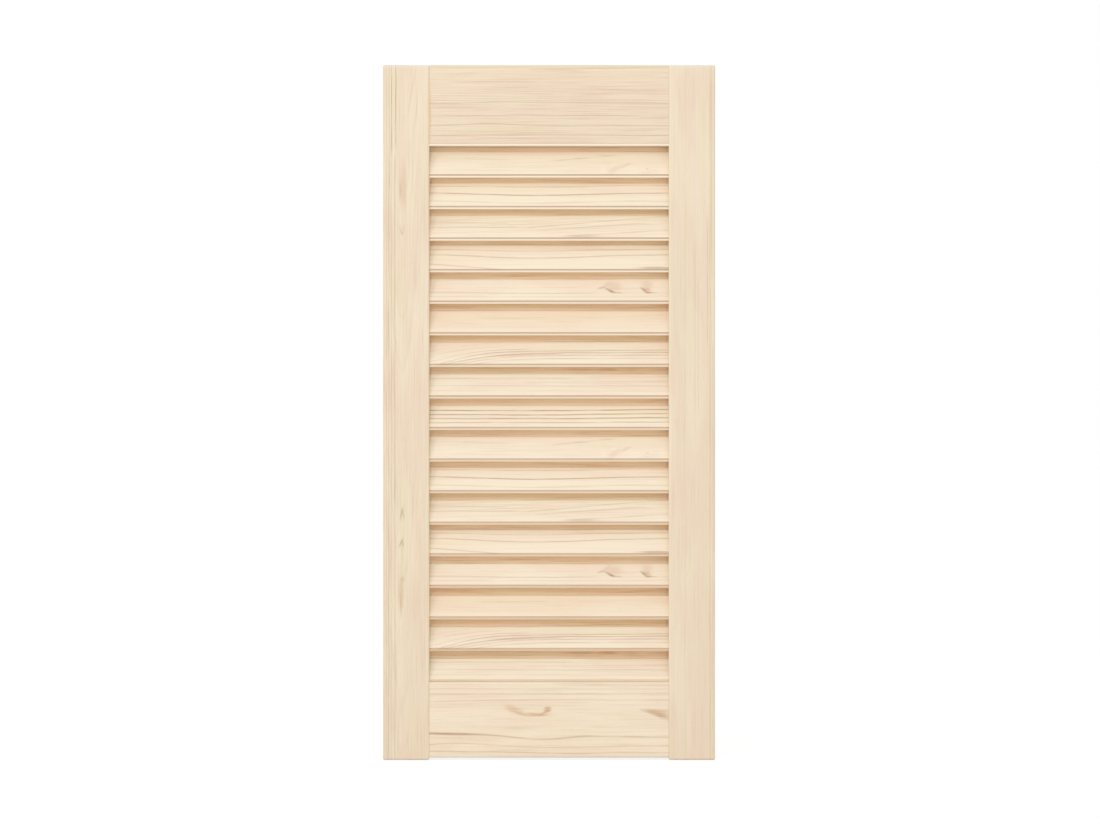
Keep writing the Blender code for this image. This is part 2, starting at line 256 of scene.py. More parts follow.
class Tree:
    """Adds nodes to a node tree and joins them up."""

    def __init__(self, tree):
        self.tree = tree

    def feed(self, socket, value):
        """Link a socket to a socket, or set it to a plain value."""
        if isinstance(value, bpy.types.NodeSocket):
            self.tree.links.new(value, socket)
        else:
            socket.default_value = value

    def add(self, kind, inputs=None, **settings):
        """A node with its settings and inputs."""
        node = self.tree.nodes.new(kind)
        for name, value in settings.items():
            setattr(node, name, value)
        for name, value in (inputs or {}).items():
            self.feed(node.inputs[name], value)
        return node

    def work_out(self, kind, operation, values):
        """The outputs of a sum on values or on vectors."""
        node = self.add(kind, operation=operation)
        for socket, value in zip(node.inputs, values):
            self.feed(socket, value)
        return node.outputs

    def math(self, operation, *values):
        """A sum on values."""
        return self.work_out("ShaderNodeMath", operation, values)[0]

    def plus(self, first, second):
        """Two values added."""
        return self.math("ADD", first, second)

    def minus(self, first, second):
        """One value less another."""
        return self.math("SUBTRACT", first, second)

    def times(self, first, second):
        """Two values multiplied."""
        return self.math("MULTIPLY", first, second)

    def vector(self, operation, *values):
        """A sum on vectors."""
        outputs = self.work_out("ShaderNodeVectorMath", operation, values)
        return outputs["Value" if operation == "LENGTH" else "Vector"]

    def split(self, vector):
        """The three parts of a vector."""
        return self.add("ShaderNodeSeparateXYZ", {"Vector": vector}).outputs

    def join(self, x, y, z):
        """A vector from three parts."""
        return self.add("ShaderNodeCombineXYZ", {"X": x, "Y": y, "Z": z}).outputs[0]

    def turn(self, vector, angle):
        """A vector turned about the way through a board."""
        inputs = {"Vector": vector, "Angle": angle}
        return self.add("ShaderNodeVectorRotate", inputs, rotation_type="Z_AXIS").outputs[0]

    def shift(self, board, length):
        """Places in a board, moved along the grain."""
        return self.vector("ADD", board, self.join(length, 0.0, 0.0))

    def step(self, value, low, high, start=0.0, stop=1.0):
        """A smooth step of a value from start at low to stop at high."""
        inputs = {"Value": value, "From Min": low, "From Max": high, "To Min": start, "To Max": stop}
        return self.add("ShaderNodeMapRange", inputs, interpolation_type="SMOOTHSTEP").outputs["Result"]

    def fall(self, value, low, high):
        """A smooth step of a value from 1 at low to 0 at high."""
        return self.step(value, low, high, 1.0, 0.0)

    def bell(self, value):
        """1 where a value is 0, and fading out on both sides."""
        return self.math("EXPONENT", self.times(self.times(value, value), -1.0))

    def spread(self, value, low, high):
        """A value from 0 to 1 spread between two others."""
        inputs = {"Value": value, "To Min": low, "To Max": high}
        return self.add("ShaderNodeMapRange", inputs).outputs["Result"]

    def noise(self, board, scale, detail=2.0):
        """Soft noise about 0.5, with so many bumps a metre each way."""
        inputs = {"Vector": self.vector("MULTIPLY", board, scale), "Scale": 1.0, "Detail": detail}
        return self.add("ShaderNodeTexNoise", inputs).outputs

    def ramp(self, value, stops):
        """A grey ramp through (place, shade) stops."""
        node = self.add("ShaderNodeValToRGB", {"Fac": value})
        marks = node.color_ramp.elements
        while len(marks) < len(stops):
            marks.new(1.0)
        for mark, (place, shade) in zip(marks, stops):
            mark.position = place
            mark.color = (shade, shade, shade, 1.0)
        return node.outputs["Color"]

    def mix(self, factor, first, second, blend="MIX"):
        """Two colours mixed."""
        node = self.add("ShaderNodeMix", {"Factor": factor}, data_type="RGBA", blend_type=blend)
        # The colours' sockets share their names with those for values, so they go by number
        self.feed(node.inputs[6], first)
        self.feed(node.inputs[7], second)
        return node.outputs[2]

    def paint(self, colour, tone, where, strength=1.0, blend="MIX"):
        """A colour with a tone laid over it where a mask says, at some strength."""
        return self.mix(self.times(where, strength), colour, tone, blend)

    def written(self, name):
        """A value that is written on a board's points."""
        return self.add("ShaderNodeAttribute", attribute_name=name).outputs

    def group(self, shared, inputs):
        """A shared node group with its own values."""
        return self.add("ShaderNodeGroup", inputs, node_tree=shared).outputs

    def seen(self):
        """1 where the camera sees a surface, straight, mirrored or through glass, and 0 for its light."""
        path = self.add("ShaderNodeLightPath").outputs
        straight = path["Is Camera Ray"]
        mirrored = self.plus(path["Is Glossy Ray"], path["Is Transmission Ray"])
        return self.math("MINIMUM", self.plus(straight, mirrored), 1.0)


def new_group(name, vectors, values, outputs):
    """A node group that puts out values: its tree, what comes in and where it goes out."""
    shared = bpy.data.node_groups.new(name, "ShaderNodeTree")
    for label in vectors:
        shared.interface.new_socket(name=label, in_out="INPUT", socket_type="NodeSocketVector")
    for label in values:
        shared.interface.new_socket(name=label, in_out="INPUT", socket_type="NodeSocketFloat")
    for label in outputs:
        shared.interface.new_socket(name=label, in_out="OUTPUT", socket_type="NodeSocketFloat")
    tree = Tree(shared)
    return shared, tree, tree.add("NodeGroupInput").outputs, tree.add("NodeGroupOutput").inputs


def make_growth_rings():
    """Late wood lines of the rings around the tree's heart, as they come out on a board."""
    shared, tree, inside, out = new_group(
        "growth_rings",
        vectors=("Board", "Heart", "Lean"),
        values=(
            "Spacing", "Wander", "Sweep", "Sweep From", "Clear From", "Clear To", "Clear Least", "Contrast",
            "Seed",
        ),
        outputs=("Late",),
    )
    board = inside["Board"]
    along, across = tree.split(board)[:2]
    # Slow waver along the grain, with a finer one on top
    moved = tree.shift(board, tree.times(inside["Seed"], WAVER_STRIDE))
    waver = tree.vector("SUBTRACT", tree.noise(moved, WAVER_SCALE, detail=3.0)["Color"], (0.5, 0.5, 0.5))
    waver = tree.vector("MULTIPLY", waver, tree.join(0.0, inside["Wander"], inside["Wander"]))
    # Grain that sweeps down towards one end
    run = tree.math("MAXIMUM", tree.minus(inside["Sweep From"], along), 0.0)
    sweep = tree.times(tree.times(run, run), inside["Sweep"])
    # Distance from the heart, which leans along the board, in rings of uneven width
    heart = tree.vector("MULTIPLY_ADD", inside["Lean"], tree.join(along, along, along), inside["Heart"])
    away = tree.vector("ADD", tree.vector("SUBTRACT", board, heart), waver)
    away = tree.vector("ADD", away, tree.join(0.0, sweep, 0.0))
    away = tree.vector("LENGTH", tree.vector("MULTIPLY", away, (0.0, 1.0, 1.0)))
    rings = tree.math("DIVIDE", away, inside["Spacing"])
    place = tree.math("MULTIPLY_ADD", rings, UNEVEN_SCALE, inside["Seed"])
    inputs = {"W": place, "Scale": 1.0, "Detail": 1.0}
    uneven = tree.add("ShaderNodeTexNoise", inputs, noise_dimensions="1D").outputs["Fac"]
    rings = tree.math("MULTIPLY_ADD", uneven, UNEVEN_SHARE, rings)
    late = tree.ramp(tree.math("FRACT", rings), RING_SHADES)
    number = tree.plus(tree.math("FLOOR", rings), inside["Seed"])
    own = tree.add("ShaderNodeTexWhiteNoise", {"W": number}, noise_dimensions="1D").outputs["Value"]
    late = tree.times(late, tree.spread(own, WEAKEST_RING, 1.0))
    # Broken along its length, and fainter on the clear side of the board
    breaks = tree.noise(board, RING_BREAK_SCALE)["Fac"]
    late = tree.times(late, tree.step(breaks, *RING_BREAK_STEP, BROKEN, 1.0))
    clear = tree.step(across, inside["Clear From"], inside["Clear To"], 1.0, inside["Clear Least"])
    tree.feed(out["Late"], tree.times(tree.times(late, clear), inside["Contrast"]))
    return shared


def make_fibres():
    """Fine dark and pale streaks, soft bands, flecks and patches of tone that follow the grain."""
    shared, tree, inside, out = new_group(
        "fibres", vectors=("Board",), values=("Seed",),
        outputs=("Dark", "Pale", "Band", "Fleck", "Tone", "Height"),
    )
    board = tree.shift(inside["Board"], inside["Seed"])
    streak = tree.noise(board, STREAK_SCALE, detail=3.0)["Fac"]
    tree.feed(out["Dark"], tree.step(streak, *DARK_STEP))
    tree.feed(out["Pale"], tree.step(streak, *PALE_STEP))
    tree.feed(out["Height"], streak)
    tree.feed(out["Band"], tree.noise(board, BAND_SCALE)["Fac"])
    tree.feed(out["Tone"], tree.noise(board, TONE_SCALE)["Fac"])
    tree.feed(out["Fleck"], tree.step(tree.noise(board, FLECK_SCALE, detail=0.0)["Fac"], *FLECK_STEP))
    return shared


def make_late_line():
    """One stronger late wood line that follows the length of a board, with a dip or a rise in it."""
    shared, tree, inside, out = new_group(
        "late_line", vectors=("Board",),
        values=("Level", "Slope", "Dip", "Dip At", "Dip Spread", "From", "To", "Width"),
        outputs=("Mask",),
    )
    along, across = tree.split(inside["Board"])[:2]
    dip = tree.bell(tree.math("DIVIDE", tree.minus(along, inside["Dip At"]), inside["Dip Spread"]))
    level = tree.math("MULTIPLY_ADD", dip, inside["Dip"], inside["Level"])
    level = tree.math("MULTIPLY_ADD", along, inside["Slope"], level)
    unsteady = tree.noise(tree.join(along, inside["Level"], 0.0), UNSTEADY_SCALE, detail=3.0)["Fac"]
    level = tree.math("MULTIPLY_ADD", tree.minus(unsteady, 0.5), UNSTEADY_REACH, level)
    trace = tree.bell(tree.math("DIVIDE", tree.minus(across, level), inside["Width"]))
    start = tree.step(tree.minus(along, inside["From"]), -LINE_FADE, LINE_FADE)
    stop = tree.fall(tree.minus(along, inside["To"]), -LINE_FADE, LINE_FADE)
    breaks = tree.noise(inside["Board"], LINE_BREAK_SCALE)["Fac"]
    trace = tree.times(trace, tree.step(breaks, *LINE_BREAK_STEP, BROKEN, 1.0))
    tree.feed(out["Mask"], tree.times(trace, tree.times(start, stop)))
    return shared


def make_stain():
    """A soft streak of colour that tapers at both ends."""
    shared, tree, inside, out = new_group(
        "stain", vectors=("Board", "Place"), values=("Turn", "Length", "Width"), outputs=("Mask",),
    )
    away = tree.vector("SUBTRACT", inside["Board"], inside["Place"])
    ahead, aside = tree.split(tree.turn(away, inside["Turn"]))[:2]
    ahead = tree.math("DIVIDE", ahead, inside["Length"])
    aside = tree.math("DIVIDE", aside, inside["Width"])
    far = tree.math("POWER", tree.vector("LENGTH", tree.join(ahead, aside, 0.0)), STAIN_EDGE)
    soft = tree.math("EXPONENT", tree.times(far, -1.0))
    streaky = tree.noise(inside["Board"], STAIN_SCALE)["Fac"]
    tree.feed(out["Mask"], tree.times(soft, tree.spread(streaky, *STAIN_STREAKS)))
    return shared


def make_spike_knot():
    """A small knot cut lengthwise: a pointed or rounded bow with one darker arm."""
    shared, tree, inside, out = new_group(
        "spike_knot", vectors=("Board", "Place"),
        values=("Turn", "Slope", "Round", "Reach", "Width", "Fill"),
        outputs=("Mask",),
    )
    bow = inside["Round"]
    reach = inside["Reach"]
    width = inside["Width"]
    away = tree.vector("SUBTRACT", inside["Board"], inside["Place"])
    ahead, aside = tree.split(tree.turn(away, inside["Turn"]))[:2]
    ragged = tree.noise(inside["Board"], RAGGED_SCALE)["Fac"]
    curve = tree.math("SQRT", tree.plus(tree.times(aside, aside), tree.times(bow, bow)))
    offset = tree.minus(ahead, tree.times(tree.minus(curve, bow), inside["Slope"]))
    offset = tree.plus(offset, tree.times(tree.minus(ragged, 0.5), width))
    arms = tree.fall(tree.math("ABSOLUTE", offset), 0.0, width)
    change = tree.times(reach, ARM_CHANGE)
    arms = tree.times(arms, tree.step(aside, tree.times(change, -1.0), change, 1.0, PALE_ARM))
    filling = tree.times(tree.step(offset, 0.0, width), inside["Fill"])
    filling = tree.times(filling, tree.fall(offset, reach, tree.times(reach, FILLING_END)))
    window = tree.fall(tree.math("ABSOLUTE", aside), tree.times(reach, ARM_END), reach)
    mask = tree.times(tree.math("MAXIMUM", arms, filling), window)
    tree.feed(out["Mask"], tree.times(mask, tree.spread(ragged, *KNOT_RAGGEDNESS)))
    return shared


def make_nose_marks():
    """Places on a louvre: the quirk, the bead below it and the painted shade strip under the next nose."""
    shared, tree, inside, out = new_group(
        "nose_marks", vectors=("Board",), values=("Shade Level", "Waver"),
        outputs=("Quirk", "Bead", "Shade Strip", "Shade Lip", "Painted Light Below", "Corner Shade", "Front"),
    )
    along, across, through = tree.split(inside["Board"])
    away = tree.join(0.0, tree.minus(across, QUIRK_LEVEL), tree.minus(through, QUIRK_DEPTH))
    tree.feed(out["Quirk"], tree.fall(tree.vector("LENGTH", away), *QUIRK_EDGE))
    tree.feed(out["Bead"], tree.times(tree.fall(across, *BEAD_LEVEL), tree.step(through, *BEAD_DEPTH)))
    edge = tree.math("MULTIPLY_ADD", tree.minus(inside["Waver"], 0.5), SHADE_STRIP_WAVER, inside["Shade Level"])
    over = tree.minus(across, edge)
    face = tree.step(through, *FACE_DEPTH)
    shade_strip = tree.times(tree.step(over, *SHADE_STRIP_EDGE), face)
    tree.feed(out["Shade Strip"], shade_strip)
    tree.feed(out["Shade Lip"], tree.times(tree.fall(over, *SHADE_LIP_HEIGHT), shade_strip))
    tree.feed(out["Painted Light Below"], tree.times(tree.step(over, *PAINTED_LIGHT_BELOW), face))
    tree.feed(out["Corner Shade"], tree.times(tree.step(along, *CORNER_SHADE_END), shade_strip))
    tree.feed(out["Front"], tree.times(tree.step(across, *LIT_FRONT_LEVEL), tree.step(through, *LIT_FRONT_DEPTH)))
    return shared


def make_edge_marks():
    """Strips along the upper and lower edges of a stile or a rail. The lower one is on the face alone."""
    shared, tree, inside, out = new_group(
        "edge_marks", vectors=("Board",), values=("Half", "Front"),
        outputs=("Lower", "Line", "Upper", "Arris"),
    )
    across, through = tree.split(inside["Board"])[1:]
    front = tree.fall(tree.minus(inside["Front"], through), *STRIP_DEPTH)
    above = tree.plus(across, inside["Half"])
    below = tree.minus(inside["Half"], across)
    tree.feed(out["Lower"], tree.times(tree.fall(above, *LOWER_STRIP), front))
    off = tree.math("ABSOLUTE", tree.minus(above, FINE_LINE_LEVEL))
    tree.feed(out["Line"], tree.fall(off, *FINE_LINE_EDGE))
    tree.feed(out["Upper"], tree.fall(below, *UPPER_STRIP))
    tree.feed(out["Arris"], tree.fall(below, *ARRIS_STRIP))
    return shared


GROWTH_RINGS = make_growth_rings()
FIBRES = make_fibres()
SPIKE_KNOT = make_spike_knot()
LATE_LINE = make_late_line()
STAIN = make_stain()
NOSE_MARKS = make_nose_marks()
EDGE_MARKS = make_edge_marks()


def sawn(across, through, spacing, contrast, seed, lean=(0.0, 0.0), wander=2.0, sweep=(0.0, 0.0),
         clear=(0.0, 1.0, 1.0), streaks=0.16):
    """How a board was sawn, in millimetres: the heart's place beside it, its rings and its streaks."""
    rings = {
        "Heart": (0.0, across * MM, through * MM), "Lean": (0.0, *lean), "Spacing": spacing * MM,
        "Wander": wander * MM, "Sweep": sweep[0], "Sweep From": sweep[1] * MM,
        "Clear From": clear[0] * MM, "Clear To": clear[1] * MM, "Clear Least": clear[2],
        "Contrast": contrast, "Seed": seed,
    }
    return rings, streaks


def knot(along, across, strength, turn=0.0, slope=2.0, bow=0.8, reach=6.0, width=2.0, fill=0.1):
    """A small knot cut lengthwise, in millimetres and degrees."""
    shape = {
        "Place": (along * MM, across * MM, 0.0), "Turn": math.radians(turn), "Slope": slope,
        "Round": bow * MM, "Reach": reach * MM, "Width": width * MM, "Fill": fill,
    }
    return SPIKE_KNOT, shape, strength, KNOT_AND_SHADE_BROWN


def stain(along, across, strength, length, width, turn=0.0, tone=KNOT_AND_SHADE_BROWN):
    """A soft streak of a tone, in millimetres and degrees."""
    shape = {
        "Place": (along * MM, across * MM, 0.0), "Turn": math.radians(-turn), "Length": length * MM,
        "Width": width * MM,
    }
    return STAIN, shape, strength, tone


def patch(along, length, strength, tone, width=17.0):
    """A broad patch of paler or deeper wood over the whole width of a louvre, in millimetres."""
    return stain(along, 0.0, strength, length, width, tone=tone)


def line(level, strength, slope=0.0, dip=(0.0, 0.0, 50.0), run=(-400.0, 400.0), width=0.52):
    """One late wood line, in millimetres: its level on the board and a dip of so much, where and how wide."""
    shape = {
        "Level": level * MM, "Slope": slope, "Dip": dip[0] * MM, "Dip At": dip[1] * MM,
        "Dip Spread": dip[2] * MM, "From": run[0] * MM, "To": run[1] * MM, "Width": width * MM,
    }
    return LATE_LINE, shape, strength, LATE_WOOD


def mark_nose(tree, board, fibres, colour, quirk_shade=QUIRK_SHADE_SHARE):
    """Painted shade in the quirk and the strip under the next nose, painted light on the bead and front."""
    shade_strip_level = tree.written("shade_strip_level")["Fac"]
    highlight_fade = tree.written("highlight_fade")["Fac"]
    marks = tree.group(NOSE_MARKS, {"Board": board, "Shade Level": shade_strip_level, "Waver": fibres["Tone"]})
    # Painted light: the face is paler towards its nose, where less shade falls from the louvre above
    colour = tree.paint(colour, PALE_WOOD_AND_LIGHT, marks["Front"], strength=0.35)
    # Painted light just below the painted shade strip
    colour = tree.paint(colour, PALE_WOOD_AND_LIGHT, marks["Painted Light Below"], strength=0.35)
    # Painted shade: the strip under the next nose lies in real shade, and this darkens it further
    painted_shade = tree.mix(tree.step(fibres["Band"], *AMBER_STEP), HONEY_SHADE, AMBER_SHADE)
    colour = tree.paint(colour, painted_shade, marks["Shade Strip"], strength=0.5, blend="MULTIPLY")
    # Painted shade, a little more just above the strip's lower edge
    colour = tree.paint(colour, LIP_SHADE, marks["Shade Lip"], blend="MULTIPLY")
    # Painted shade: darker rust and olive streaks in that strip
    streaky = tree.mix(tree.step(fibres["Tone"], *OLIVE_STEP), RUST, OLIVE)
    colour = tree.paint(colour, streaky, tree.times(marks["Shade Strip"], fibres["Dark"]), strength=0.32)
    # Painted shade in the strip's right corner, beside the stile
    colour = tree.paint(colour, KNOT_AND_SHADE_BROWN, marks["Corner Shade"], strength=0.1)
    # Painted highlight on the bead, pale on the highest louvre and fading to tan on the lowest
    colour = tree.paint(colour, tree.mix(highlight_fade, PAINTED_HIGHLIGHT, FADED_HIGHLIGHT), marks["Bead"], strength=0.8)
    # Painted shade in the quirk, fading down the door
    return tree.mix(tree.times(marks["Quirk"], tree.spread(highlight_fade, quirk_shade, FADED_QUIRK_SHARE * quirk_shade)), colour, SHADE_BROWN)


def mark_lowest_nose(tree, board, fibres, colour):
    """The lowest nose stands behind the bottom rail, where its quirk gets hardly any painted shade."""
    return mark_nose(tree, board, fibres, colour, quirk_shade=LOWEST_QUIRK_SHADE_SHARE)


def mark_edges(tree, upward, node):
    """Places along the top and bottom edges of a stile or a rail. The second part of upward is the height."""
    low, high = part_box(node)
    sizes = {"Half": (high.z - low.z) / 2, "Front": (high.y - low.y) / 2}
    return tree.group(EDGE_MARKS, {"Board": upward, **sizes})


def mark_stile(tree, board, fibres, colour):
    """The ends: painted shade makes the lower one a little greyer than the face, and the upper one is paler.
    """
    along, across, through = tree.split(board)
    marks = mark_edges(tree, tree.join(across, along, through), "left_stile")
    colour = tree.paint(colour, SHADE_GREY, marks["Lower"], strength=0.45)
    return tree.paint(colour, END_PALE, marks["Upper"], strength=0.35)


def mark_bottom_rail(tree, board, fibres, colour):
    """Painted shade: a grey lower edge, and a darker upper arris before the lowest nose."""
    marks = mark_edges(tree, board, "bottom_rail")
    colour = tree.paint(colour, SHADE_GREY, marks["Lower"], strength=0.4)
    return tree.paint(colour, SHADE_BROWN, marks["Arris"], strength=0.28)


def mark_top_rail(tree, board, fibres, colour):
    """Painted highlight on the lower edge, a fine painted shade line above it, a straw-coloured upper edge.
    """
    marks = mark_edges(tree, board, "top_rail")
    colour = tree.paint(colour, PAINTED_HIGHLIGHT, marks["Lower"], strength=0.9)
    colour = tree.paint(colour, SHADE_BROWN, marks["Line"], strength=0.25)
    return tree.paint(colour, STRAW_EDGE, marks["Upper"], strength=0.5)


def new_material(name):
    """A material and its tree."""
    material = bpy.data.materials.new(name)
    material.use_nodes = True
    return material, Tree(material.node_tree)


def make_pine(name, tones, grain, features, mark):
    """Pine with the given tones, grain, lines, knots and stains, and mark to colour a piece's own edges."""
    material, tree = new_material(name)
    board = tree.written("board")["Vector"]
    rings, streaks = grain
    late = tree.group(GROWTH_RINGS, {"Board": board, **rings})["Late"]
    fibres = tree.group(FIBRES, {"Board": board, "Seed": rings["Seed"]})
    rosy, cream, straw = tones
    colour = tree.mix(tree.step(fibres["Tone"], *CREAM_STEP), rosy, cream)
    colour = tree.paint(colour, straw, tree.step(fibres["Band"], *STRAW_STEP), STRAW_SHARE)
    colour = tree.paint(colour, PALE_WOOD_AND_LIGHT, fibres["Pale"], 2 * streaks)
    colour = tree.paint(colour, LATE_WOOD, fibres["Dark"], streaks)
    colour = tree.mix(late, colour, LATE_WOOD)
    colour = tree.paint(colour, KNOT_AND_SHADE_BROWN, fibres["Fleck"], FLECK_STRENGTH)
    for shared, shape, strength, tone in features:
        mask = tree.group(shared, {"Board": board, **shape})["Mask"]
        colour = tree.paint(colour, tone, mask, strength)
    colour = mark(tree, board, fibres, colour)
    height = tree.math("MULTIPLY_ADD", late, LATE_RELIEF, fibres["Height"])
    relief = {"Height": height, "Strength": RELIEF_STRENGTH, "Distance": RELIEF_DEPTH}
    shader = material.node_tree.nodes["Principled BSDF"]
    tree.feed(shader.inputs["Base Color"], colour)
    tree.feed(shader.inputs["Roughness"], tree.spread(fibres["Band"], *PINE_ROUGHNESS))
    tree.feed(shader.inputs["Normal"], tree.add("ShaderNodeBump", relief).outputs["Normal"])
    shader.inputs["Specular IOR Level"].default_value = PINE_SPECULAR
    return material


# How each board was sawn, and the lines, knots and stains that stand out on it
LEFT_STILE = sawn(-3.0, -15.0, 1.7, 0.17, 1.3, lean=(0.0, 0.03), wander=2.2, clear=(-12.0, -7.0, 0.5))
LEFT_STILE_FEATURES = (
    line(-19.1, 0.2), line(-17.2, 0.24), line(-15.3, 0.36, run=(-400.0, 210.0)),
    # The pale stain along the left edge is a painted highlight on the arris
    stain(0.0, -19.4, 0.25, 400.0, 1.2, tone=PALE_WOOD_AND_LIGHT), stain(-230.0, 8.0, 0.06, 110.0, 11.0, tone=TAN),
    line(-12.8, 0.8, run=(230.0, 400.0), width=0.36), line(-13.0, 0.25, run=(-400.0, 225.0)),
    line(-9.1, 0.85, run=(236.0, 400.0), width=0.38), line(-14.8, 0.5, run=(200.0, 400.0), width=0.36),
    line(-10.0, 0.4, run=(-80.0, 225.0)), line(-9.8, 0.3, run=(-400.0, -60.0)),
    stain(281.0, 4.5, 0.12, 22.0, 0.9, turn=9.0), stain(262.0, 8.5, 0.1, 18.0, 0.8, turn=6.0),
    stain(201.5, -2.4, 0.22, 20.0, 2.9, tone=RUST), stain(197.0, -5.2, 0.25, 8.0, 0.7),
    knot(158.0, -3.3, 0.4, slope=3.0, bow=1.2, reach=3.2, fill=0.3),
    stain(-90.5, -3.4, 0.14, 5.5, 1.6, tone=TAN), stain(-90.2, -4.3, 0.35, 5.5, 0.7, turn=12.0),
    stain(-89.8, -2.5, 0.25, 5.0, 0.6, turn=-12.0), stain(-116.0, -3.6, 0.15, 4.0, 1.8, tone=TAN),
    stain(-115.1, -4.4, 0.4, 4.2, 0.8, turn=25.0), stain(-116.0, -2.7, 0.3, 3.0, 0.6, turn=-8.0),
    stain(-159.5, -4.5, 0.3, 13.0, 2.5, tone=RUST), stain(-171.5, -4.4, 0.3, 9.0, 0.8, tone=TAN),
    knot(-146.5, -3.5, 0.28, turn=180.0, reach=2.4, fill=0.2),
)
RIGHT_STILE = sawn(-30.0, -14.0, 2.1, 0.1, 4.1, wander=1.8, streaks=0.1)
RIGHT_STILE_FEATURES = (
    line(2.7, 0.2, run=(5.0, 150.0)), line(5.5, 0.2, run=(5.0, 120.0)), line(13.6, 0.25, run=(60.0, 170.0)),
    line(16.0, 0.3), line(17.4, 0.28, run=(120.0, 400.0)), line(18.6, 0.25, run=(-400.0, 60.0)),
    # The pale stain along the inner edge is a painted highlight on the arris
    stain(0.0, -19.7, 0.35, 400.0, 0.9, tone=PALE_WOOD_AND_LIGHT),
)
TOP_RAIL = sawn(62.0, -18.0, 1.8, 0.4, 2.2, wander=3.0, clear=(6.0, 20.0, 0.35), streaks=0.2)
TOP_RAIL_FEATURES = (
    line(2.8, 0.34, slope=-0.009, dip=(-2.2, -105.0, 40.0)),
    line(-9.1, 0.26, slope=0.006, dip=(-2.2, 100.0, 30.0)),
    line(-17.8, 0.32, dip=(1.6, -55.0, 30.0)), line(-25.7, 0.26, slope=0.007, dip=(-1.9, 85.0, 30.0)),
    line(-29.9, 0.28, dip=(0.8, -20.0, 50.0), run=(-72.0, 48.0)),
    line(20.7, 0.25, slope=-0.003, run=(-90.0, -15.0)),
    line(14.7, 0.25, slope=-0.009, run=(40.0, 100.0)), stain(-105.2, -8.0, 0.5, 1.3, 26.0, tone=AMBER),
    line(32.3, 0.4, slope=0.016, run=(-15.0, 400.0)), stain(17.0, 19.1, 0.35, 12.0, 0.9, tone=HONEY),
)
BOTTOM_RAIL = sawn(4.0, -22.0, 4.4, 0.1, 5.7, wander=2.2)
BOTTOM_RAIL_FEATURES = (
    line(-13.9, 0.5, slope=-0.0165, dip=(-3.3, -10.0, 30.0), width=0.7),
    stain(-90.0, -12.4, 0.5, 28.0, 1.1, turn=-1.0),
    line(-24.7, 0.35, slope=0.0176, dip=(5.4, -85.0, 50.0)),
    line(-28.5, 0.4, slope=-0.006, dip=(-1.3, 10.0, 40.0)),
    line(16.3, 0.3, slope=0.009, dip=(1.5, -30.0, 100.0)), line(22.9, 0.28, slope=0.0025), line(27.3, 0.25),
    line(30.5, 0.2, run=(10.0, 400.0)),
    stain(-30.5, 8.7, 0.35, 9.0, 3.1, turn=-24.0, tone=RUST),
    stain(-26.0, 5.7, 0.3, 9.0, 0.8, turn=-18.0, tone=TAN),
    stain(-12.5, 4.9, 0.4, 12.5, 1.6, turn=-2.0, tone=RUST), stain(-11.0, 3.9, 0.4, 10.0, 0.7, tone=TAN),
    stain(-3.6, 6.6, 0.45, 5.5, 1.3, turn=28.0, tone=TAN), stain(-1.4, 8.9, 0.55, 3.2, 2.4, tone=RUST),
    stain(-0.8, 10.9, 0.35, 3.0, 0.7, tone=TAN),
    knot(82.5, 9.0, 0.24, turn=11.0, slope=4.6, bow=0.4, reach=7.0, width=5.0, fill=0.9),
    stain(97.0, 6.3, 0.42, 11.5, 2.3, turn=-9.0, tone=RUST), stain(96.0, 5.6, 0.25, 9.0, 0.8, turn=-10.0),
    stain(100.5, 3.0, 0.42, 6.5, 0.9, turn=-8.0),
)
